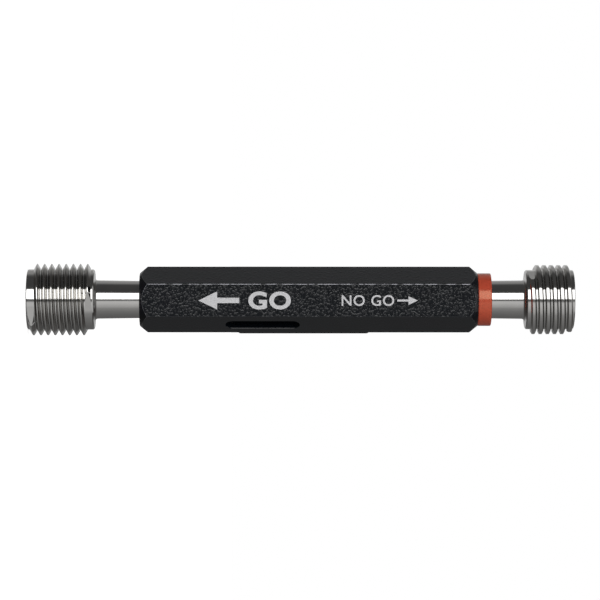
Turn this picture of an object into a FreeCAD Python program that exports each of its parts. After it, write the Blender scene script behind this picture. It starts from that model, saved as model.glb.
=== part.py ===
import FreeCAD, Part

import math
import os

from FreeCAD import Vector

# Double-ended thread plug gauge for M20 x 2 tapped holes: a GO member and a NO-GO member, each held by
# its taper shank in one end of a hexagonal handle. Millimetres and degrees. The gauge stands on the GO
# end face: the origin is the centre of that face, and +Z runs along the axis to the NO-GO end.
# Azimuths are counted from +X towards +Y.

# Thread
THREAD_PITCH = 2.0
FLANK_ANGLE = 30.0               # each flank from the plane square to the axis
RIDGE_SINK = 0.1                 # how far the ridge's foot is let into the body before the two are joined

# GO member
GO_CREST_DIA = 20.0
GO_CREST_FLAT = 0.25
GO_ROOT_GAP = 0.3                # width of the ground relief between two ridges
GO_BODY_DIA = 16.8               # pilot, relief and collar
GO_HEAD_LENGTH = 18.65
GO_THREAD_START = 1.27           # end face to where the ridge begins
GO_THREAD_LENGTH = 16.04
GO_THREAD_AZIMUTH = 222.0        # where round the body the ridge begins
GO_NECK_LENGTH = 12.6            # between the head and the handle
GO_END_CHAMFER = 0.25

# NO-GO member
NO_GO_CREST_DIA = 19.3
NO_GO_CREST_FLAT = 0.78
NO_GO_ROOT_GAP = 0.45
NO_GO_BODY_DIA = 16.5
NO_GO_HEAD_LENGTH = 13.4
NO_GO_THREAD_START = 1.42        # back of the head to where the ridge begins
NO_GO_THREAD_LENGTH = 10.93
NO_GO_THREAD_AZIMUTH = 141.0
NO_GO_NECK_LENGTH = 9.6          # between the head and the red ring
NO_GO_END_CHAMFER = 0.2
NO_GO_SEATED_LENGTH = 20.0       # shank inside the handle

# Both members
SHANK_DIA = 10.43                # where the shank enters the handle
SHANK_TAPER = 0.025              # on diameter, for each millimetre of length
SHANK_TIP_CHAMFER = 0.5
SHOULDER_FILLET = 1.0            # between the head and the neck
SHOULDER_CHAMFER = 0.3
CENTRE_MOUTH_DIA = 4.2           # countersunk centres that the member was ground between
CENTRE_DRILL_DIA = 1.6
CENTRE_DRILL_DEPTH = 2.2         # below the countersink
CENTRE_ANGLE = 60.0

# Handle
HEX_ACROSS_FLATS = 16.0
HEX_EDGE_RADIUS = 0.2
HANDLE_LENGTH = 94.0
HANDLE_END_DIA = 14.8            # flat ring left at each end by the turned cone
HANDLE_CONE_ANGLE = 39.0         # cone from the axis
HANDLE_BORE_DIA = 8.0            # between the two taper seats
SEAT_CLEARANCE = 0.02            # shank to seat, on radius
SEAT_OVERRUN = 1.0               # seat reamed past the tip of the shank
SEAT_MOUTH_CHAMFER = 0.25

# Drift slot, cut right through the handle: a key in it drives the GO member out
SLOT_LENGTH = 20.6
SLOT_WIDTH = 4.2
SLOT_START = 23.9                # handle's GO end to the near end of the slot
SLOT_RIM = 0.15                  # edge break
DRIFT_ENTRY = 3.0                # tip of the GO shank past the near end of the slot

# Marking plate, bonded to the flat beside the slot
PLATE_AZIMUTH = 330.0
PLATE_LENGTH = 36.4
PLATE_START = 27.4               # handle's GO end to the plate
PLATE_THICKNESS = 0.5
PLATE_MARGIN = 0.3               # flat left bare along each side of the plate
PLATE_CORNER_RADIUS = 0.8

# Red ring that marks the NO-GO end
RING_LENGTH = 3.75
RING_DIA = 14.7
RING_EDGE_RADIUS = 0.3
RING_CLEARANCE = 0.05            # ring to shank, on radius

# Places along the axis
HANDLE_START = GO_HEAD_LENGTH + GO_NECK_LENGTH
HANDLE_END = HANDLE_START + HANDLE_LENGTH
RING_END = HANDLE_END + RING_LENGTH
NO_GO_SHOULDER = RING_END + NO_GO_NECK_LENGTH
TOTAL_LENGTH = NO_GO_SHOULDER + NO_GO_HEAD_LENGTH
GO_SEATED_LENGTH = SLOT_START + DRIFT_ENTRY

AXIS = Vector(0, 0, 1)
ORIGIN = Vector(0, 0, 0)


def turned(edges):
    """Solid of revolution about Z from a closed outline in the XZ plane."""
    outline = Part.Face(Part.Wire(Part.__sortEdges__(edges)))
    return outline.revolve(ORIGIN, AXIS, 360)


def polyline(points):
    """Straight edges through (radius, z) points."""
    corners = [Vector(radius, 0, z) for radius, z in points]
    return [Part.makeLine(a, b) for a, b in zip(corners, corners[1:])]


def turned_polygon(points):
    return turned(polyline(points + points[:1]))


def centre_hole():
    """Countersunk centre, opening at z = 0 and running up the axis."""
    mouth = CENTRE_MOUTH_DIA / 2
    drill = CENTRE_DRILL_DIA / 2
    slope = math.tan(math.radians(CENTRE_ANGLE / 2))
    cone_end = (mouth - drill) / slope
    drill_end = cone_end + CENTRE_DRILL_DEPTH
    point = drill_end + drill / math.tan(math.radians(CENTRE_ANGLE))
    return turned_polygon([(0, 0), (mouth, 0), (drill, cone_end), (drill, drill_end), (0, point)])


def member_blank(head_length, body_dia, neck_length, seated_length, end_chamfer):
    """One gauging member without its thread, from its end face at z = 0 up to the tip of its shank."""
    body = body_dia / 2
    tip = head_length + neck_length + seated_length
    tip_radius = SHANK_DIA / 2 - seated_length * SHANK_TAPER / 2
    fillet_end = head_length + SHOULDER_FILLET
    neck_radius = SHANK_DIA / 2 + (neck_length - SHOULDER_FILLET) * SHANK_TAPER / 2
    head = polyline([
        (0, tip),
        (0, 0),
        (body - end_chamfer, 0),
        (body, end_chamfer),
        (body, head_length - SHOULDER_CHAMFER),
        (body - SHOULDER_CHAMFER, head_length),
        (neck_radius + SHOULDER_FILLET, head_length),
    ])
    reach = SHOULDER_FILLET * (1 - math.sqrt(0.5))
    fillet = Part.Arc(
        Vector(neck_radius + SHOULDER_FILLET, 0, head_length),
        Vector(neck_radius + reach, 0, head_length + reach),
        Vector(neck_radius, 0, fillet_end),
    ).toShape()
    shank = polyline([
        (neck_radius, fillet_end),
        (tip_radius, tip - SHANK_TIP_CHAMFER),
        (tip_radius - SHANK_TIP_CHAMFER, tip),
        (0, tip),
    ])
    blank = turned(head + [fillet] + shank)
    blank = blank.cut(centre_hole())
    tip_centre = centre_hole()
    tip_centre.rotate(ORIGIN, Vector(1, 0, 0), 180)
    tip_centre.translate(Vector(0, 0, tip))
    return blank.cut(tip_centre)


def turned_over(blank):
    """The blank with its end face at the top of the gauge."""
    blank.rotate(ORIGIN, Vector(1, 0, 0), 180)
    blank.translate(Vector(0, 0, TOTAL_LENGTH))
    return blank


def blunt_end_cutter(crest_dia, body_dia, foot_width, root_gap, azimuth, z, towards_thread):
    """Block whose inner face touches the body, so the ridge rises from nothing along a flat ramp.

    towards_thread is +1 where the thread goes on up the helix, and -1 where it comes from below.
    """
    reach = crest_dia / 2 + 1
    near = THREAD_PITCH - foot_width / 2 - root_gap / 4
    low, high = (-THREAD_PITCH, near) if towards_thread > 0 else (-near, THREAD_PITCH)
    start = -1 if towards_thread > 0 else -reach
    block = Part.makeBox(reach, reach + 1, high - low, Vector(body_dia / 2, start, low))
    block.rotate(ORIGIN, AXIS, azimuth)
    block.translate(Vector(0, 0, z))
    return block


def thread_ridge(crest_dia, crest_flat, root_gap, body_dia, start_z, length, azimuth):
    """Right-hand helical ridge with truncated crests, ground away to a blunt ramp at both ends."""
    crest = crest_dia / 2
    foot_width = THREAD_PITCH - root_gap
    foot = crest - (foot_width - crest_flat) / 2 / math.tan(math.radians(FLANK_ANGLE))
    sunk = min(foot, body_dia / 2) - RIDGE_SINK
    section = [
        Vector(sunk, 0, -foot_width / 2),
        Vector(foot, 0, -foot_width / 2),
        Vector(crest, 0, -crest_flat / 2),
        Vector(crest, 0, crest_flat / 2),
        Vector(foot, 0, foot_width / 2),
        Vector(sunk, 0, foot_width / 2),
    ]
    helix = Part.makeHelix(THREAD_PITCH, length, crest)
    ridge = Part.Wire(helix.Edges).makePipeShell([Part.makePolygon(section + section[:1])], True, True)
    ridge = Part.Solid(ridge) if ridge.ShapeType == "Shell" else ridge
    ridge.rotate(ORIGIN, AXIS, azimuth)
    ridge.translate(Vector(0, 0, start_z))
    end_azimuth = azimuth + 360 * length / THREAD_PITCH
    first = blunt_end_cutter(crest_dia, body_dia, foot_width, root_gap, azimuth, start_z, 1)
    last = blunt_end_cutter(crest_dia, body_dia, foot_width, root_gap, end_azimuth, start_z + length, -1)
    return ridge.cut(first).cut(last)


def go_member():
    blank = member_blank(GO_HEAD_LENGTH, GO_BODY_DIA, GO_NECK_LENGTH, GO_SEATED_LENGTH, GO_END_CHAMFER)
    ridge = thread_ridge(
        GO_CREST_DIA, GO_CREST_FLAT, GO_ROOT_GAP, GO_BODY_DIA,
        GO_THREAD_START, GO_THREAD_LENGTH, GO_THREAD_AZIMUTH,
    )
    return blank.fuse(ridge)


def no_go_member():
    neck_length = NO_GO_NECK_LENGTH + RING_LENGTH
    blank = turned_over(member_blank(
        NO_GO_HEAD_LENGTH, NO_GO_BODY_DIA, neck_length, NO_GO_SEATED_LENGTH, NO_GO_END_CHAMFER,
    ))
    ridge = thread_ridge(
        NO_GO_CREST_DIA, NO_GO_CREST_FLAT, NO_GO_ROOT_GAP, NO_GO_BODY_DIA,
        NO_GO_SHOULDER + NO_GO_THREAD_START, NO_GO_THREAD_LENGTH, NO_GO_THREAD_AZIMUTH,
    )
    return blank.fuse(ridge)


def hex_bar():
    """Hexagon bar with eased long edges and both ends turned to a cone."""
    corner = HEX_ACROSS_FLATS / math.sqrt(3)
    ring = [Vector(corner * math.cos(math.radians(60 * i)), corner * math.sin(math.radians(60 * i)), 0)
            for i in range(6)]
    bar = Part.Face(Part.makePolygon(ring + ring[:1])).extrude(AXIS * HANDLE_LENGTH)
    long_edges = [edge for edge in bar.Edges if edge.BoundBox.ZLength > HANDLE_LENGTH / 2]
    bar = bar.makeFillet(HEX_EDGE_RADIUS, long_edges)
    end = HANDLE_END_DIA / 2
    outside = corner + 1
    cone = (outside - end) / math.tan(math.radians(HANDLE_CONE_ANGLE))
    return bar.common(turned_polygon([
        (0, 0), (end, 0), (outside, cone), (outside, HANDLE_LENGTH - cone), (end, HANDLE_LENGTH), (0, HANDLE_LENGTH),
    ]))


def taper_seat(seated_length):
    """Reamed seat for a taper shank, opening at z = 0 and running up the axis."""
    mouth = SHANK_DIA / 2 + SEAT_CLEARANCE
    depth = seated_length + SEAT_OVERRUN
    bottom = mouth - depth * SHANK_TAPER / 2
    return turned_polygon([
        (0, 0), (mouth + SEAT_MOUTH_CHAMFER, 0), (mouth, SEAT_MOUTH_CHAMFER), (bottom, depth), (0, depth),
    ])


def obround(radius, y):
    """Outline of the drift slot at a distance along Y, with its round ends of this radius."""
    low = SLOT_START + SLOT_WIDTH / 2
    high = SLOT_START + SLOT_LENGTH - SLOT_WIDTH / 2
    top = Part.Arc(Vector(radius, y, high), Vector(0, y, high + radius), Vector(-radius, y, high)).toShape()
    bottom = Part.Arc(Vector(-radius, y, low), Vector(0, y, low - radius), Vector(radius, y, low)).toShape()
    left = Part.makeLine(Vector(-radius, y, high), Vector(-radius, y, low))
    right = Part.makeLine(Vector(radius, y, low), Vector(radius, y, high))
    return Part.Wire([top, left, bottom, right])


def drift_slot():
    """Milled slot through the handle along Y, with both rims broken at 45 degrees."""
    flat = HEX_ACROSS_FLATS / 2
    radius = SLOT_WIDTH / 2
    outside = 1.0
    slot = Part.Face(obround(radius, -flat - outside)).extrude(Vector(0, 2 * (flat + outside), 0))
    for side in (-1, 1):
        wide = obround(radius + SLOT_RIM + outside, side * (flat + outside))
        narrow = obround(radius, side * (flat - SLOT_RIM))
        slot = slot.fuse(Part.makeLoft([wide, narrow], True, True))
    return slot


def handle():
    body = hex_bar().cut(Part.makeCylinder(HANDLE_BORE_DIA / 2, HANDLE_LENGTH))
    body = body.cut(taper_seat(GO_SEATED_LENGTH))
    far_seat = taper_seat(NO_GO_SEATED_LENGTH)
    far_seat.rotate(ORIGIN, Vector(1, 0, 0), 180)
    far_seat.translate(Vector(0, 0, HANDLE_LENGTH))
    body = body.cut(far_seat).cut(drift_slot())
    body.translate(Vector(0, 0, HANDLE_START))
    return body


def no_go_ring():
    """Red sleeve over the NO-GO shank, against the end of the handle."""
    bore = SHANK_DIA / 2 + RING_LENGTH * SHANK_TAPER / 2 + RING_CLEARANCE
    ring = Part.makeCylinder(RING_DIA / 2, RING_LENGTH)
    rims = [edge for edge in ring.Edges if edge.BoundBox.ZLength < RING_LENGTH / 2]
    ring = ring.makeFillet(RING_EDGE_RADIUS, rims).cut(Part.makeCylinder(bore, RING_LENGTH))
    ring.translate(Vector(0, 0, HANDLE_END))
    return ring


def marking_plate():
    """Thin plate with rounded corners on one flat of the handle."""
    flat = HEX_ACROSS_FLATS / 2
    width = HEX_ACROSS_FLATS / math.sqrt(3) - 2 * PLATE_MARGIN
    low = HANDLE_START + PLATE_START
    plate = Part.makeBox(PLATE_THICKNESS, width, PLATE_LENGTH, Vector(flat, -width / 2, low))
    corners = [edge for edge in plate.Edges if edge.BoundBox.XLength > PLATE_THICKNESS / 2
               and edge.BoundBox.YLength < PLATE_THICKNESS / 2 and edge.BoundBox.ZLength < PLATE_THICKNESS / 2]
    plate = plate.makeFillet(PLATE_CORNER_RADIUS, corners)
    plate.rotate(ORIGIN, AXIS, PLATE_AZIMUTH)
    return plate


os.makedirs("parts", exist_ok=True)
for name, build in (
    ("handle", handle),
    ("go_member", go_member),
    ("no_go_member", no_go_member),
    ("no_go_ring", no_go_ring),
    ("marking_plate", marking_plate),
):
    shape = build()
    shape = shape.Solids[0] if len(shape.Solids) == 1 else shape
    print(name, shape.ShapeType, shape.isValid(), round(shape.Volume, 1), len(shape.Faces))
    shape.exportStep("parts/" + name + ".step")
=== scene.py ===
import math

import bmesh
import bpy
from mathutils import Matrix, Vector


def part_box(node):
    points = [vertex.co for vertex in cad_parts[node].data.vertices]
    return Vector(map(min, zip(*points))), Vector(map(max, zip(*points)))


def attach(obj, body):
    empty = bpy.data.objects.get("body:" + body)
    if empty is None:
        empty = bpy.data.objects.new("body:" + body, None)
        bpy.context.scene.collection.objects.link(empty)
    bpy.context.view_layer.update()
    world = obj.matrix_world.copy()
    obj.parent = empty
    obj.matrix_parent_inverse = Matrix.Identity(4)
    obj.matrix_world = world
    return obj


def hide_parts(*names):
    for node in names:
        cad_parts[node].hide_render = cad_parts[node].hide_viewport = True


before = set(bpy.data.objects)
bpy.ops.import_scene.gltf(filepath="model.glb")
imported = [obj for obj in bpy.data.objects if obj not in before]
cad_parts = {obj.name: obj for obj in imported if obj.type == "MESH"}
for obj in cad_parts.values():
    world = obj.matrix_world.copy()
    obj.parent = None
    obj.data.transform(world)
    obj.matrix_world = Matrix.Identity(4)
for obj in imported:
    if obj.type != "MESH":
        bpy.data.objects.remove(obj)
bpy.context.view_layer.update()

# ---------------------------------------------------------------------------------------------------
# Handle. A length of 16 mm hexagon aluminium bar, bored through and reamed at both ends for the taper
# shanks, with both ends turned to a cone and a drift slot milled right across it. The finish is black
# anodising over a faintly etched skin, worn bright in places along the corners; the bright cone arrises
# and the bright long edge over the print are partly painted highlight.

mm = 0.001
lathe_steps = 192                # round a full turn
across_flats = 16 * mm
flat = across_flats / 2
corner = across_flats / math.sqrt(3)
corner_radius = 0.32 * mm        # long edges of the bar
handle_low, handle_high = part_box("handle")
handle_start = handle_low.z
handle_end = handle_high.z
end_radius = 7.4 * mm            # flat ring left at each end by the cone
near_seat = 27.9 * mm            # depth of the taper seats
far_seat = 21.0 * mm
cone_slope = math.tan(math.radians(39))
bore_radius = 4 * mm
seat_mouth = 5.235 * mm
seat_chamfer = 0.25 * mm
shank_taper = 0.0125             # on radius, for each unit of length
slot_start = handle_start + 23.9 * mm
slot_length = 20.6 * mm
slot_radius = 2.1 * mm
slot_rim = 0.15 * mm
arris_break = 0.07 * mm          # where the cones meet the flats
arris_wear_and_highlight = 0.8               # how bright each edge is worn, from 0 to 1, partly painted highlight: the arrises of the cones, the long edge over the print, made fully bright as a painted highlight, and the other long edges
front_edge_wear_and_highlight = 1.0               # the long edge over the print
rubbed_others = 0.04             # and the other long edges
print_azimuth = math.radians(210)


def turn_on_lathe(bm, outline, closed=False, first=0.0):
    """Spins an outline of (radius, height) points once round Z, starting at an azimuth, and joins it up."""
    points = [bm.verts.new((radius * math.cos(first), radius * math.sin(first), height))
              for radius, height in outline]
    ends = points[1:] + points[:1] if closed else points[1:]
    edges = [bm.edges.new(pair) for pair in zip(points, ends)]
    bmesh.ops.spin(bm, geom=points + edges, axis=(0, 0, 1), cent=(0, 0, 0), dvec=(0, 0, 0),
                   angle=2 * math.pi, steps=lathe_steps, use_merge=True)
    bmesh.ops.remove_doubles(bm, verts=bm.verts, dist=1e-7)
    bmesh.ops.recalc_face_normals(bm, faces=bm.faces)


def pull_out(bm, faces, travel):
    """Extrudes flat faces by a travel and turns everything outwards."""
    grown = bmesh.ops.extrude_face_region(bm, geom=faces)["geom"]
    bmesh.ops.translate(bm, vec=travel, verts=[v for v in grown if isinstance(v, bmesh.types.BMVert)])
    bmesh.ops.recalc_face_normals(bm, faces=bm.faces)


def loose_object(bm, name):
    mesh = bpy.data.meshes.new(name)
    bm.to_mesh(mesh)
    bm.free()
    blank = bpy.data.objects.new(name, mesh)
    bpy.context.scene.collection.objects.link(blank)
    return blank


def machined(stock, *cuts):
    """The stock after each cut, as a new bmesh; a cut is an object and INTERSECT or DIFFERENCE."""
    for tool, operation in cuts:
        cut = stock.modifiers.new(operation, "BOOLEAN")
        cut.object = tool
        cut.operation = operation
        cut.solver = "EXACT"
    bpy.context.view_layer.update()
    mesh = bpy.data.meshes.new_from_object(stock.evaluated_get(bpy.context.evaluated_depsgraph_get()))
    result = bmesh.new()
    result.from_mesh(mesh)
    bpy.data.meshes.remove(mesh)
    for blank in [stock] + [tool for tool, operation in cuts]:
        bpy.data.meshes.remove(blank.data)
    return result


def finished_piece(bm, name, material, nodes=(), crisp=20):
    """Shades the mesh, corners over a number of degrees crisp, and seats it on the gauge's one body."""
    for face in bm.faces:
        face.smooth = True
    for edge in bm.edges:
        edge.smooth = len(edge.link_faces) == 2 and edge.calc_face_angle(0) < math.radians(crisp)
    mesh = bpy.data.meshes.new(name)
    bm.to_mesh(mesh)
    bm.free()
    mesh.materials.append(material)
    piece = bpy.data.objects.new(name, mesh)
    bpy.context.scene.collection.objects.link(piece)
    shading = piece.modifiers.new("even_shading", "WEIGHTED_NORMAL")
    shading.keep_sharp = True
    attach(piece, "root")
    if nodes:
        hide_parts(*nodes)
    return piece


# Bar stock
bar = bmesh.new()
bmesh.ops.create_circle(bar, cap_ends=True, radius=corner, segments=6)
bmesh.ops.rotate(bar, verts=bar.verts, cent=(0, 0, 0), matrix=Matrix.Rotation(math.radians(30), 3, "Z"))
bmesh.ops.translate(bar, verts=bar.verts, vec=(0, 0, handle_start))
pull_out(bar, bar.faces[:], (0, 0, handle_end - handle_start))
bmesh.ops.bevel(bar, geom=[e for e in bar.edges if abs(e.verts[0].co.z - e.verts[1].co.z) > mm],
                offset=corner_radius * math.tan(math.radians(30)), offset_type="OFFSET", segments=5,
                profile=0.5, affect="EDGES", material=-1)

# Lathe work
outside = corner + mm
cone = (outside - end_radius) / cone_slope
near_seat_end = handle_start + near_seat
far_seat_end = handle_end - far_seat
turned = bmesh.new()
turn_on_lathe(turned, [
    (seat_mouth + seat_chamfer, handle_start),
    (end_radius, handle_start),
    (outside, handle_start + cone),
    (outside, handle_end - cone),
    (end_radius, handle_end),
    (seat_mouth + seat_chamfer, handle_end),
    (seat_mouth, handle_end - seat_chamfer),
    (seat_mouth - (handle_end - far_seat_end) * shank_taper, far_seat_end),
    (bore_radius, far_seat_end),
    (bore_radius, near_seat_end),
    (seat_mouth - (near_seat_end - handle_start) * shank_taper, near_seat_end),
    (seat_mouth, handle_start + seat_chamfer),
], closed=True, first=math.pi / lathe_steps)

# Milling cutter's path for the drift slot
cutter = bmesh.new()
bmesh.ops.create_circle(cutter, cap_ends=True, radius=slot_radius, segments=48)
bmesh.ops.bisect_plane(cutter, geom=cutter.verts[:] + cutter.edges[:] + cutter.faces[:], dist=1e-8,
                       plane_co=(0, 0, 0), plane_no=(0, 1, 0))
reach = slot_length / 2 - slot_radius
halves = sorted(cutter.faces, key=lambda f: f.calc_center_median().y)
bmesh.ops.split(cutter, geom=halves[:1])
for vert in cutter.verts:
    side = sum(f.calc_center_median().y for f in vert.link_faces)
    vert.co.y += math.copysign(reach, side)
seams = [e for e in cutter.edges if e.is_boundary and abs(e.verts[0].co.y - e.verts[1].co.y) < 1e-9]
bmesh.ops.bridge_loops(cutter, edges=seams)
bmesh.ops.transform(cutter, verts=cutter.verts,
                    matrix=Matrix.Translation((0, -across_flats, slot_start + slot_length / 2))
                    @ Matrix.Rotation(math.radians(90), 4, "X"))
pull_out(cutter, cutter.faces[:], (0, 2 * across_flats, 0))

handle = machined(loose_object(bar, "bar"), (loose_object(turned, "turned"), "INTERSECT"),
                  (loose_object(cutter, "cutter"), "DIFFERENCE"))
bmesh.ops.dissolve_limit(handle, angle_limit=math.radians(0.05), verts=handle.verts, edges=handle.edges)


def on_flat(edge, azimuth):
    outward = Vector((math.cos(azimuth), math.sin(azimuth), 0))
    return all(abs(v.co.dot(outward) - flat) < 1e-6 for v in edge.verts)


def crisp_edges(bm, least):
    return [e for e in bm.edges if len(e.link_faces) == 2 and e.calc_face_angle(0) > math.radians(least)]


wear_and_highlight_layer = handle.faces.layers.float.new("edge")
rims = [e for e in crisp_edges(handle, 80)
        if (on_flat(e, math.radians(90)) or on_flat(e, math.radians(-90)))
        and all(abs(v.co.x) < slot_radius + 1e-6 for v in e.verts)]
bmesh.ops.bevel(handle, geom=rims, offset=slot_rim, offset_type="OFFSET", segments=2, profile=0.5,
                affect="EDGES", material=-1)
arrises = [e for e in crisp_edges(handle, 30)
           if all(v.co.xy.length > end_radius - 1e-6 for v in e.verts)
           and all(v.co.z < handle_start + cone or v.co.z > handle_end - cone for v in e.verts)]
broken = bmesh.ops.bevel(handle, geom=arrises, offset=arris_break, offset_type="OFFSET", segments=2,
                         profile=0.5, affect="EDGES", material=-1)["faces"]
# The cone arrises are marked bright: partly worn metal, partly a painted highlight.
for face in broken:
    face[wear_and_highlight_layer] = arris_wear_and_highlight
for face in handle.faces:
    middle = face.calc_center_median()
    azimuth = math.degrees(math.atan2(face.normal.y, face.normal.x))
    # The long edge over the print is marked fully bright as a painted highlight; the other long edges are
    # only lightly worn.
    if abs(face.normal.z) < 0.01 and abs(azimuth % 60 - 30) > 3 and middle.xy.length > 9 * mm:
        over_print = abs(math.degrees(math.atan2(middle.y, middle.x))) > 170
        face[wear_and_highlight_layer] = front_edge_wear_and_highlight if over_print else rubbed_others


# Finishes. Each effect is a node group that the materials below share, with its own values in each.
def effect(name, takes, gives):
    """A node group with named number inputs, given as name: default, and named outputs."""
    tree = bpy.data.node_groups.new(name, "ShaderNodeTree")
    for label, value in takes.items():
        socket = tree.interface.new_socket(label, in_out="INPUT", socket_type="NodeSocketFloat")
        socket.default_value = value
    for label, kind in gives.items():
        tree.interface.new_socket(label, in_out="OUTPUT", socket_type=kind)
    return tree, tree.nodes.new("NodeGroupInput"), tree.nodes.new("NodeGroupOutput")


def node(tree, kind, settings=None, **inputs):
    """Adds a node; an input, by its name or by n and its number, takes a value or a node's output."""
    made = tree.nodes.new(kind)
    for label, value in (settings or {}).items():
        setattr(made, label, value)
    for label, value in inputs.items():
        numbered = label[0] == "n" and label[1:].isdigit()
        socket = made.inputs[int(label[1:])] if numbered else made.inputs[label]
        if isinstance(value, bpy.types.NodeSocket):
            tree.links.new(value, socket)
        else:
            socket.default_value = value
    return made


def math_node(tree, operation, *values, clamp=False):
    made = node(tree, "ShaderNodeMath", {"operation": operation, "use_clamp": clamp},
                **{f"n{i}": value for i, value in enumerate(values)})
    return made.outputs[0]


def place(tree):
    return node(tree, "ShaderNodeTexCoord").outputs["Object"]


def remap(tree, value, start, stop, low=0.0, high=1.0, curve="LINEAR"):
    """Takes a value's range from start to stop onto low to high."""
    made = node(tree, "ShaderNodeMapRange", {"interpolation_type": curve}, **{
        "Value": value, "From Min": start, "From Max": stop, "To Min": low, "To Max": high})
    return made.outputs["Result"]


# Uneven finish: cloudy variation between two values.
uneven, takes, gives = effect("uneven_finish", {"Scale": 150.0, "Low": 0.0, "High": 1.0},
                              {"Value": "NodeSocketFloat"})
clouds = node(uneven, "ShaderNodeTexNoise", Vector=place(uneven), Scale=takes.outputs["Scale"], Detail=4.0)
spread = remap(uneven, clouds.outputs["Fac"], 0.3, 0.7, takes.outputs["Low"], takes.outputs["High"])
uneven.links.new(spread, gives.inputs["Value"])

# Edge wear and painted edge highlight: a broken lighter line along the edges that were marked when they
# were eased.
edge_wear_and_highlight_group, takes, gives = effect("edge_wear_and_highlight", {"Scale": 900.0, "Amount": 0.5}, {"Mask": "NodeSocketFloat"})
edge_mark = node(edge_wear_and_highlight_group, "ShaderNodeAttribute", {"attribute_name": "edge"})
patches = node(edge_wear_and_highlight_group, "ShaderNodeTexNoise", Vector=place(edge_wear_and_highlight_group), Scale=takes.outputs["Scale"], Detail=3.0)
least = math_node(edge_wear_and_highlight_group, "SUBTRACT", 0.72, math_node(edge_wear_and_highlight_group, "MULTIPLY", takes.outputs["Amount"], 0.45))
rubbed_and_highlit = remap(edge_wear_and_highlight_group, patches.outputs["Fac"], least, math_node(edge_wear_and_highlight_group, "ADD", least, 0.12))
edge_wear_and_highlight_group.links.new(math_node(edge_wear_and_highlight_group, "MULTIPLY", rubbed_and_highlit, edge_mark.outputs["Fac"]), gives.inputs["Mask"])

# Etched skin: low blisters that etching and anodising leave on drawn bar, with smooth metal between.
skin, takes, gives = effect("etched_skin", {"Scale": 2600.0}, {"Height": "NodeSocketFloat"})
pits = node(skin, "ShaderNodeTexNoise", Vector=place(skin), Scale=takes.outputs["Scale"], Detail=1.5,
            Roughness=0.45)
skin.links.new(remap(skin, pits.outputs["Fac"], 0.47, 0.75, curve="SMOOTHSTEP"), gives.inputs["Height"])

# Fine scratches: short straight marks lying at all angles.
scratches, takes, gives = effect("fine_scratches", {"Spacing": 0.004, "Amount": 0.3},
                                 {"Mask": "NodeSocketFloat"})
spacing = math_node(scratches, "DIVIDE", 1.0, takes.outputs["Spacing"])
marks = None
for turn, stretch in ((0.4, 14.0), (-0.9, 11.0), (1.35, 17.0)):
    turned_place = node(scratches, "ShaderNodeMapping", Vector=place(scratches),
                        Rotation=(turn, turn * 0.7, turn * 1.3), Scale=(stretch, 1.0, stretch))
    streak = node(scratches, "ShaderNodeTexNoise", Vector=turned_place.outputs["Vector"], Scale=spacing,
                  Detail=1.0)
    line = math_node(scratches, "ABSOLUTE", math_node(scratches, "SUBTRACT", streak.outputs["Fac"], 0.5))
    thin = remap(scratches, line, 0.0, 0.012, 1.0, 0.0)
    marks = thin if marks is None else math_node(scratches, "MAXIMUM", marks, thin)
where = node(scratches, "ShaderNodeTexNoise", Vector=place(scratches), Scale=spacing, Detail=2.0)
gate = remap(scratches, where.outputs["Fac"], 0.52, 0.66, 0.0, takes.outputs["Amount"])
scratches.links.new(math_node(scratches, "MULTIPLY", marks, gate), gives.inputs["Mask"])


def new_material(name, **fixed):
    """A material with one Principled shader; fixed values go on its own sockets."""
    material = bpy.data.materials.new(name)
    material.use_nodes = True
    tree = material.node_tree
    shader = tree.nodes["Principled BSDF"]
    for label, value in fixed.items():
        shader.inputs[label.replace("_", " ")].default_value = value
    return material, tree, shader


def use_effect(tree, group, **values):
    made = tree.nodes.new("ShaderNodeGroup")
    made.node_tree = group
    for label, value in values.items():
        made.inputs[label].default_value = value
    return made.outputs[0]


def blend_colours(tree, mask, low, high):
    made = node(tree, "ShaderNodeMix", {"data_type": "RGBA"})
    for label, value in (("Factor_Float", mask), ("A_Color", low), ("B_Color", high)):
        socket = next(s for s in made.inputs if s.identifier == label)
        if isinstance(value, bpy.types.NodeSocket):
            tree.links.new(value, socket)
        else:
            socket.default_value = value
    return next(s for s in made.outputs if s.identifier == "Result_Color")


def bump(tree, height, depth, **under):
    """Normal of a relief; depth is its full height in metres, and under may name the Normal below it."""
    made = node(tree, "ShaderNodeBump", Height=height, Strength=1.0, Distance=depth, **under)
    return made.outputs["Normal"]


black, tree, shader = new_material("black_anodising", IOR=1.52)
cloud = use_effect(tree, uneven, Scale=260.0, Low=0.0, High=1.0)
# Lighter bare metal along the marked edges: worn, and painted highlight on the cone arrises and the long
# front edge.
wear_and_highlight_mask = use_effect(tree, edge_wear_and_highlight_group, Scale=420.0, Amount=0.72)
scratch_mask = use_effect(tree, scratches, Spacing=0.005, Amount=0.15)
dyed = blend_colours(tree, cloud, (0.0045, 0.0068, 0.0105, 1), (0.0080, 0.0105, 0.0150, 1))
scuffed = blend_colours(tree, scratch_mask, dyed, (0.05, 0.05, 0.055, 1))
worn_and_highlit_colour = blend_colours(tree, wear_and_highlight_mask, scuffed, (0.24, 0.24, 0.26, 1))
tree.links.new(worn_and_highlit_colour, shader.inputs["Base Color"])
tree.links.new(math_node(tree, "MULTIPLY", wear_and_highlight_mask, 0.8), shader.inputs["Metallic"])
tree.links.new(use_effect(tree, uneven, Scale=420.0, Low=0.09, High=0.14), shader.inputs["Roughness"])
tree.links.new(bump(tree, use_effect(tree, skin, Scale=1750.0), 0.023 * mm), shader.inputs["Normal"])
finished_piece(handle, "hexagon_handle", black, nodes=["handle"])

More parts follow.
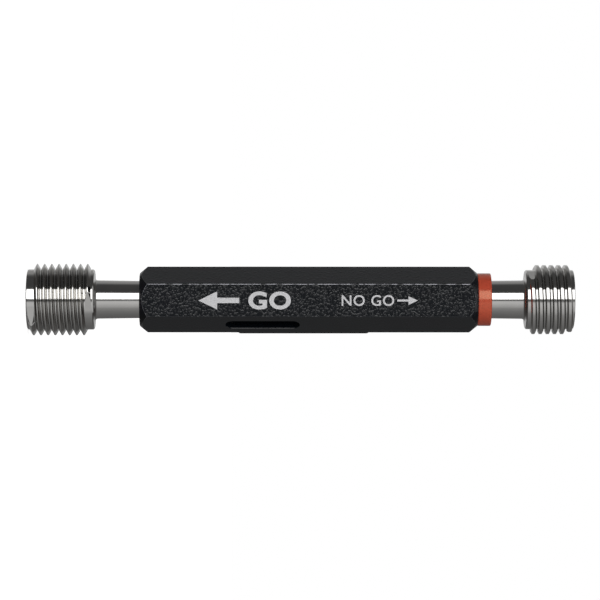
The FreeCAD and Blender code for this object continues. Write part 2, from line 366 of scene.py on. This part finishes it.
# ---------------------------------------------------------------------------------------------------
# Gauging members. Each is one piece of hardened gauge steel, ground between centres: a head with a
# plain pilot, the M20 x 2 screw whose ends are ground to a blunt ramp, and a collar; then a neck that
# goes on as the slow taper that holds it in the handle. The NO-GO screw is shorter, with broad crests.

shank_at_handle = 5.215 * mm
tip_chamfer = 0.5 * mm
shoulder_chamfer = 0.3 * mm
shoulder_fillet = 1.0 * mm
centre_mouth = 2.1 * mm
centre_drill = 0.8 * mm
centre_drill_depth = 2.2 * mm
pitch = 2.0 * mm
flank_slope = math.tan(math.radians(30))


def arc(centre, radius, start, stop, steps):
    angles = [math.radians(start + (stop - start) * i / steps) for i in range(steps + 1)]
    return [(centre[0] + radius * math.cos(a), centre[1] + radius * math.sin(a)) for a in angles]


def centre_hole(face, inward):
    """Countersink and drilling from the axis out to the face it opens in, as (radius, height) points."""
    sink = (centre_mouth - centre_drill) / math.tan(math.radians(30))
    bottom = sink + centre_drill_depth
    point = bottom + centre_drill / math.tan(math.radians(60))
    return [(0, face + inward * point), (centre_drill, face + inward * bottom),
            (centre_drill, face + inward * sink), (centre_mouth, face)]


def member_outline(shoulder, body, end_chamfer, seat, tip):
    """A member from its end face at height 0 to the tip of its shank, as (radius, height) points."""
    def shank(height):
        return shank_at_handle + (seat - height) * shank_taper
    fillet_end = shoulder + shoulder_fillet
    fillet = arc((shank(fillet_end) + shoulder_fillet, fillet_end), shoulder_fillet, 270, 180, 12)
    return centre_hole(0, 1) + [
        (body - end_chamfer, 0),
        (body, end_chamfer),
        (body, shoulder - shoulder_chamfer),
        (body - shoulder_chamfer, shoulder),
    ] + fillet + [
        (shank(tip - tip_chamfer), tip - tip_chamfer),
        (shank(tip) - tip_chamfer, tip),
    ] + centre_hole(tip, -1)[::-1]


def wind_thread(bm, crest, crest_flat, crest_ease, root_gap, body, start, length, azimuth):
    """Winds a truncated ridge up the body and grinds both of its ends to a flat ramp."""
    steps_a_turn = 160
    half_foot = (pitch - root_gap) / 2
    foot = crest - (half_foot - crest_flat / 2) / flank_slope
    half = [(body - 0.1 * mm, half_foot), (foot, half_foot),
            (crest - crest_ease, crest_flat / 2 + crest_ease * flank_slope),
            (crest - crest_ease * 0.3, crest_flat / 2 - crest_ease * 0.1),
            (crest, crest_flat / 2 - crest_ease)]
    section = [(radius, -width) for radius, width in half]
    section += [(radius, width) for radius, width in reversed(half)]
    ridge = bmesh.new()
    points = [ridge.verts.new((radius, 0, width)) for radius, width in section]
    edges = [ridge.edges.new(pair) for pair in zip(points, points[1:] + points[:1])]
    turns = length / pitch
    steps = round(turns * steps_a_turn)
    bmesh.ops.spin(ridge, geom=points + edges, axis=(0, 0, 1), cent=(0, 0, 0), dvec=(0, 0, length / steps),
                   angle=2 * math.pi * turns, steps=steps)
    bmesh.ops.holes_fill(ridge, edges=[e for e in ridge.edges if e.is_boundary])
    for angle, height, along in ((0, 0, 1), (2 * math.pi * turns, length, -1)):
        outward = Vector((math.cos(angle), math.sin(angle), 0))
        ahead = Vector((-math.sin(angle), math.cos(angle), 0)) * along
        near = [f for f in ridge.faces if f.calc_center_median().dot(ahead) > -0.5 * mm
                and f.calc_center_median().dot(outward) > body - 0.5 * mm
                and (f.calc_center_median().z - height) * along < pitch / 2]
        corners = {v for f in near for v in f.verts}
        sides = {e for f in near for e in f.edges}
        geometry = list(corners) + list(sides) + near
        bmesh.ops.bisect_plane(ridge, geom=geometry, dist=1e-8, plane_co=outward * body, plane_no=outward,
                               clear_outer=True)
        bmesh.ops.holes_fill(ridge, edges=[e for e in ridge.edges if e.is_boundary])
    bmesh.ops.recalc_face_normals(ridge, faces=ridge.faces)
    ridge.transform(Matrix.Translation((0, 0, start)) @ Matrix.Rotation(azimuth, 4, "Z"))
    wound = bpy.data.meshes.new("ridge")
    ridge.to_mesh(wound)
    ridge.free()
    bm.from_mesh(wound)
    bpy.data.meshes.remove(wound)


# Ground grain: rings as fine as a wheel leaves, round every turned surface and every end face.
grain, takes, gives = effect("ground_grain", {"Lines": 6000.0, "Around": 90.0},
                             {"Height": "NodeSocketFloat"})
axes = node(grain, "ShaderNodeSeparateXYZ", Vector=place(grain))
x, y, z = axes.outputs
squares = [math_node(grain, "MULTIPLY", part, part) for part in (x, y)]
radius = math_node(grain, "SQRT", math_node(grain, "ADD", *squares))
along = math_node(grain, "ADD", z, math_node(grain, "MULTIPLY", radius, 0.71))
lines = node(grain, "ShaderNodeCombineXYZ", X=math_node(grain, "MULTIPLY", x, takes.outputs["Around"]),
             Y=math_node(grain, "MULTIPLY", y, takes.outputs["Around"]),
             Z=math_node(grain, "MULTIPLY", along, takes.outputs["Lines"]))
rings = node(grain, "ShaderNodeTexNoise", Vector=lines.outputs["Vector"], Scale=1.0, Detail=4.0)
grain.links.new(rings.outputs["Fac"], gives.inputs["Height"])

steel, tree, shader = new_material("ground_gauge_steel", Metallic=1.0)
cloud = use_effect(tree, uneven, Scale=180.0, Low=0.0, High=1.0)
scratch_mask = use_effect(tree, scratches, Spacing=0.003, Amount=0.6)
polished = blend_colours(tree, cloud, (0.58, 0.575, 0.565, 1), (0.63, 0.62, 0.60, 1))
scratched = blend_colours(tree, scratch_mask, polished, (0.72, 0.71, 0.70, 1))
tree.links.new(scratched, shader.inputs["Base Color"])
wheel_finish = use_effect(tree, uneven, Scale=600.0, Low=0.06, High=0.11)
rough = math_node(tree, "ADD", wheel_finish, math_node(tree, "MULTIPLY", scratch_mask, 0.15))
tree.links.new(rough, shader.inputs["Roughness"])
fine = bump(tree, use_effect(tree, grain, Lines=9000.0, Around=60.0), 0.0012 * mm)
wavy = bump(tree, use_effect(tree, grain, Lines=900.0, Around=160.0), 0.008 * mm, Normal=fine)
tree.links.new(wavy, shader.inputs["Normal"])

# GO member
go_head = 18.65 * mm
go_body = 8.4 * mm               # radius of pilot, relief and collar
go_chamfer = 0.25 * mm
go_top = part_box("go_member")[1]
go = bmesh.new()
turn_on_lathe(go, member_outline(go_head, go_body, go_chamfer, handle_start, go_top.z))
wind_thread(go, crest=go_top.x, crest_flat=0.25 * mm, crest_ease=0.03 * mm, root_gap=0.3 * mm, body=go_body,
            start=1.27 * mm, length=16.04 * mm, azimuth=math.radians(222))
finished_piece(go, "go_plug", steel, nodes=["go_member"])

# NO-GO member, turned end for end
no_go_head = 13.4 * mm
no_go_body = 8.25 * mm
no_go_chamfer = 0.2 * mm
no_go_bottom, no_go_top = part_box("no_go_member")
total_length = no_go_top.z
no_go = bmesh.new()
turn_on_lathe(no_go, member_outline(no_go_head, no_go_body, no_go_chamfer, total_length - handle_end,
                                    total_length - no_go_bottom.z))
bmesh.ops.transform(no_go, verts=no_go.verts,
                    matrix=Matrix.Translation((0, 0, total_length)) @ Matrix.Rotation(math.pi, 4, "X"))
wind_thread(no_go, crest=no_go_top.x, crest_flat=0.78 * mm, crest_ease=0.07 * mm, root_gap=0.45 * mm,
            body=no_go_body, start=total_length - no_go_head + 1.42 * mm, length=10.93 * mm,
            azimuth=math.radians(141))
finished_piece(no_go, "no_go_plug", steel, nodes=["no_go_member"])

# ---------------------------------------------------------------------------------------------------
# Red ring. A short sleeve of red plastic, turned from rod, that slips over the NO-GO shank and sits
# against the end of the handle: the colour marks the NO-GO end.

ring_low, ring_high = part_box("no_go_ring")
ring_edge = 0.3 * mm
ring_clearance = 0.05 * mm       # over the shank, on radius
ring_bore = shank_at_handle + (ring_high.z - ring_low.z) * shank_taper + ring_clearance
ring_radius = ring_high.x
ring = bmesh.new()
turn_on_lathe(ring, [(ring_bore, ring_low.z)]
              + arc((ring_radius - ring_edge, ring_low.z + ring_edge), ring_edge, 270, 360, 6)
              + arc((ring_radius - ring_edge, ring_high.z - ring_edge), ring_edge, 0, 90, 6)
              + [(ring_bore, ring_high.z)], closed=True)

red, tree, shader = new_material("red_ring", IOR=1.75, Specular_Tint=(1.0, 0.72, 0.48, 1))
cloud = use_effect(tree, uneven, Scale=300.0, Low=0.0, High=1.0)
dyed = blend_colours(tree, cloud, (0.74, 0.100, 0.052, 1), (0.80, 0.118, 0.060, 1))
tree.links.new(dyed, shader.inputs["Base Color"])
tree.links.new(use_effect(tree, uneven, Scale=700.0, Low=0.14, High=0.22), shader.inputs["Roughness"])
turning = bump(tree, use_effect(tree, grain, Lines=5000.0, Around=60.0), 0.002 * mm)
tree.links.new(turning, shader.inputs["Normal"])
finished_piece(ring, "red_ring", red, nodes=["no_go_ring"])

# ---------------------------------------------------------------------------------------------------
# Marking plate. A thin black plate with rounded corners, bonded to the flat next to the drift slot,
# bare for whoever owns the gauge to engrave.

plate_low, plate_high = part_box("marking_plate")
plate_azimuth = math.radians(330)
plate_thickness = 0.5 * mm
plate_margin = 0.3 * mm          # flat left bare along each side
plate_width = corner - 2 * plate_margin
plate_corner = 0.8 * mm
plate_edge = 0.1 * mm
plate = bmesh.new()
middle = (flat + plate_thickness / 2, 0, (plate_low.z + plate_high.z) / 2)
size = (plate_thickness, plate_width, plate_high.z - plate_low.z, 1)
bmesh.ops.create_cube(plate, size=1.0, matrix=Matrix.Translation(middle) @ Matrix.Diagonal(size))
thickness_edges = [e for e in plate.edges if abs(e.verts[0].co.x - e.verts[1].co.x) > plate_thickness / 2]
bmesh.ops.bevel(plate, geom=thickness_edges, offset=plate_corner, offset_type="OFFSET", segments=8,
                profile=0.5, affect="EDGES", material=-1)
wear_and_highlight_layer = plate.faces.layers.float.new("edge")
face_rim = [e for e in crisp_edges(plate, 80) if all(v.co.x > flat + plate_thickness / 2 for v in e.verts)]
broken = bmesh.ops.bevel(plate, geom=face_rim, offset=plate_edge, offset_type="OFFSET", segments=3,
                         profile=0.5, affect="EDGES", material=-1)["faces"]
# The face rim is marked fully bright: worn metal, and partly a painted highlight along it.
for face in broken:
    face[wear_and_highlight_layer] = 1.0
bmesh.ops.rotate(plate, verts=plate.verts, cent=(0, 0, 0), matrix=Matrix.Rotation(plate_azimuth, 3, "Z"))

plate_black, tree, shader = new_material("black_plate", IOR=1.5)
cloud = use_effect(tree, uneven, Scale=200.0, Low=0.0, High=1.0)
wear_and_highlight_mask = use_effect(tree, edge_wear_and_highlight_group, Scale=900.0, Amount=0.3)
scratch_mask = use_effect(tree, scratches, Spacing=0.004, Amount=0.4)
dyed = blend_colours(tree, cloud, (0.008, 0.0085, 0.0095, 1), (0.011, 0.0115, 0.0125, 1))
scuffed = blend_colours(tree, scratch_mask, dyed, (0.04, 0.04, 0.042, 1))
tree.links.new(blend_colours(tree, wear_and_highlight_mask, scuffed, (0.4, 0.4, 0.41, 1)), shader.inputs["Base Color"])
tree.links.new(math_node(tree, "MULTIPLY", wear_and_highlight_mask, 0.8), shader.inputs["Metallic"])
tree.links.new(use_effect(tree, uneven, Scale=500.0, Low=0.22, High=0.32), shader.inputs["Roughness"])
tree.links.new(bump(tree, use_effect(tree, skin, Scale=4000.0), 0.01 * mm), shader.inputs["Normal"])
finished_piece(plate, "marking_plate_face", plate_black, nodes=["marking_plate"])

# ---------------------------------------------------------------------------------------------------
# Print on the front flat. White epoxy ink, pad printed: an arrow and GO towards the GO member, and
# NO GO with an arrow towards the other, each read with the GO end on the left.

ink_height = 0.02 * mm
outward = Vector((math.cos(print_azimuth), math.sin(print_azimuth), 0))
upward = Vector((-math.sin(print_azimuth), math.cos(print_azimuth), 0)) * -1
onto_flat = Matrix((
    (0, upward.x, outward.x, outward.x * flat),
    (0, upward.y, outward.y, outward.y * flat),
    (1, upward.z, outward.z, 0),
    (0, 0, 0, 1),
))


def printed_words(words, height, left, bold, stretch):
    """Words with capitals of this height, starting at a height along the handle, as a mesh lying on XY."""
    curve = bpy.data.curves.new("words", "FONT")
    curve.body = words
    curve.size = 1.0
    curve.offset = bold
    curve.extrude = 0.5
    curve.space_character = 1.08
    curve.resolution_u = 6
    lettering = bpy.data.objects.new("words", curve)
    bpy.context.scene.collection.objects.link(lettering)
    bpy.context.view_layer.update()
    mesh = bpy.data.meshes.new_from_object(lettering)
    bpy.data.curves.remove(curve)
    low = [min(v.co[i] for v in mesh.vertices) for i in range(3)]
    high = [max(v.co[i] for v in mesh.vertices) for i in range(3)]
    scale = height / (high[1] - low[1])
    mesh.transform(Matrix.Translation((left, -height / 2, 0))
                   @ Matrix.Diagonal((scale * stretch, scale, ink_height, 1))
                   @ Matrix.Translation((-low[0], -low[1], 0.5)))
    words_mesh = bmesh.new()
    words_mesh.from_mesh(mesh)
    bpy.data.meshes.remove(mesh)
    bmesh.ops.remove_doubles(words_mesh, verts=words_mesh.verts, dist=1e-8)
    return words_mesh


def add_arrow(bm, tail, tip, head, thickness, width):
    """A straight arrow along X with a triangular head, lying on XY."""
    way = math.copysign(1, tip - tail)
    neck = tip - way * head
    bmesh.ops.create_cube(bm, size=1.0, matrix=Matrix.Translation(((tail + neck) / 2, 0, ink_height / 2))
                          @ Matrix.Diagonal((abs(neck - tail), thickness, ink_height, 1)))
    point = bmesh.ops.create_cone(bm, cap_ends=True, segments=3, radius1=1, radius2=1,
                                  depth=ink_height)["verts"]
    bmesh.ops.transform(bm, verts=point,
                        matrix=Matrix.Translation((tip - way * head * 2 / 3, 0, ink_height / 2))
                        @ Matrix.Diagonal((head / 1.5, width / math.sqrt(3), 1, 1))
                        @ Matrix.Rotation(math.radians(-90 if way > 0 else 90), 4, "Z"))


def printed_piece(bm, name):
    bmesh.ops.transform(bm, verts=bm.verts, matrix=onto_flat)
    bmesh.ops.recalc_face_normals(bm, faces=bm.faces)
    return finished_piece(bm, name, ink, crisp=30)


ink, tree, shader = new_material("white_ink", IOR=1.45)
cloud = use_effect(tree, uneven, Scale=900.0, Low=0.0, High=1.0)
pigment = blend_colours(tree, cloud, (0.86, 0.86, 0.88, 1), (0.95, 0.95, 0.97, 1))
tree.links.new(pigment, shader.inputs["Base Color"])
tree.links.new(use_effect(tree, uneven, Scale=1500.0, Low=0.45, High=0.6), shader.inputs["Roughness"])
tree.links.new(bump(tree, use_effect(tree, skin, Scale=3000.0), 0.008 * mm), shader.inputs["Normal"])

go_print = printed_words("GO", height=5 * mm, left=61.5 * mm, bold=0.035, stretch=1.15)
add_arrow(go_print, tail=59.0 * mm, tip=47.7 * mm, head=5.2 * mm, thickness=1.5 * mm, width=5 * mm)
printed_piece(go_print, "go_print")
no_go_print = printed_words("NO GO", height=3 * mm, left=87.3 * mm, bold=0.012, stretch=1.0)
add_arrow(no_go_print, tail=102.7 * mm, tip=108.4 * mm, head=2.6 * mm, thickness=0.55 * mm, width=2.4 * mm)
printed_piece(no_go_print, "no_go_print")

# ---------------------------------------------------------------------------------------------------
# Floor: a plain pale table.

table = bmesh.new()
bmesh.ops.create_circle(table, cap_ends=True, radius=4.0, segments=96)
table_mesh = bpy.data.meshes.new("floor")
table.to_mesh(table_mesh)
table.free()
floor = bpy.data.objects.new("floor", table_mesh)
bpy.context.scene.collection.objects.link(floor)
floor.visible_glossy = False
floor.visible_diffuse = False
paper = new_material("white_paper", Base_Color=(0.9, 0.9, 0.9, 1), Roughness=1.0, Specular_IOR_Level=0.0,
                     Emission_Color=(1, 1, 1, 1), Emission_Strength=0.86)[0]
table_mesh.materials.append(paper)

# ---------------------------------------------------------------------------------------------------
# Studio light: a tall soft box just above the camera, with a thin dark gap and then a grey card under it,
# dark drapes over it, a grey wall behind and a dim panel overhead. Nothing bright stands at either end
# of the gauge. Each entry is an angle from the camera, positive towards the top of the print, and a
# radiance.

camera_azimuth = 208.1           # direction from the gauge to the camera, degrees
full = 2.8                       # radiance of the soft box
card = [
    (-180, 0.45), (-172, 0.25), (-150, 0.14), (-129, 0.15), (-105, 0.18), (-78, 0.23), (-56, 0.32),
    (-44, 0.48), (-36, 0.54), (-21, 0.67), (-12, 0.68), (-9, 0.50), (-6.5, 0.20), (-5.5, 0.15),
    (1.3, 0.17), (2.3, full),
    (38, full), (40, 0.09), (52, 0.06), (97, 0.07), (107, 0.15), (118, 0.32), (135, 0.34), (148, 0.42),
    (152, 0.60), (176, 0.60), (180, 0.45),
]
world = bpy.data.worlds.new("studio")
bpy.context.scene.world = world
world.use_nodes = True
tree = world.node_tree
tree.nodes.clear()
sky = node(tree, "ShaderNodeTexCoord").outputs["Generated"]
faced = node(tree, "ShaderNodeMapping", Vector=sky, Rotation=(0, 0, math.radians(-camera_azimuth)))
sweep = node(tree, "ShaderNodeTexGradient", {"gradient_type": "RADIAL"}, Vector=faced.outputs["Vector"])
ramp = node(tree, "ShaderNodeValToRGB", Fac=sweep.outputs["Fac"])
stops = ramp.color_ramp.elements
while len(stops) > 1:
    stops.remove(stops[-1])
stops[0].position = 0.0
for number, (angle, level) in enumerate(sorted(card, key=lambda entry: -entry[0])):
    stop = stops[0] if number == 0 else stops.new(0.5 - angle / 360)
    stop.color = (level / full, level / full, level / full, 1)
level = node(tree, "ShaderNodeSeparateXYZ", Vector=sky).outputs["Z"]
height = math_node(tree, "ABSOLUTE", level)
ends = remap(tree, height, 0.30, 0.70, curve="SMOOTHSTEP")
around = blend_colours(tree, ends, ramp.outputs["Color"], (0.024, 0.023, 0.022, 1))
overhead = remap(tree, level, 0.87, 0.93, curve="SMOOTHSTEP")
roofed = blend_colours(tree, overhead, around, (0.20, 0.20, 0.20, 1))
lit = node(tree, "ShaderNodeBackground", Color=roofed, Strength=full)
plain = node(tree, "ShaderNodeBackground", Color=(1, 1, 1, 1), Strength=1.0)
seen = node(tree, "ShaderNodeLightPath").outputs["Is Camera Ray"]
mixed = node(tree, "ShaderNodeMixShader", n0=seen, n1=lit.outputs[0], n2=plain.outputs[0])
tree.links.new(mixed.outputs[0], node(tree, "ShaderNodeOutputWorld").inputs["Surface"])
bpy.context.scene.view_settings.view_transform = "Standard"

# ---------------------------------------------------------------------------------------------------
# Camera: square on to the print but for two degrees, on its side, so that the GO end is on the left.

toward_camera = Vector((math.cos(math.radians(camera_azimuth)), math.sin(math.radians(camera_azimuth)), 0))
camera_distance = 850 * mm
aim = Vector((0, 0, 75.86 * mm))
eye = toward_camera * camera_distance + Vector((0, 0, 68.7 * mm))
back = (eye - aim).normalized()
roll = Matrix.Rotation(math.radians(0.02), 3, back)
up = roll @ back.cross(Vector((0, 0, 1))).normalized()
right = up.cross(back).normalized()
eye -= up * 0.13 * mm
camera_data = bpy.data.cameras.new("camera")
camera_data.lens = 182.8
camera_data.sensor_width = 36
camera_data.clip_end = 50
camera = bpy.data.objects.new("camera", camera_data)
bpy.context.scene.collection.objects.link(camera)
camera.matrix_world = Matrix((right, up, back)).transposed().to_4x4()
camera.location = eye
bpy.context.scene.camera = camera
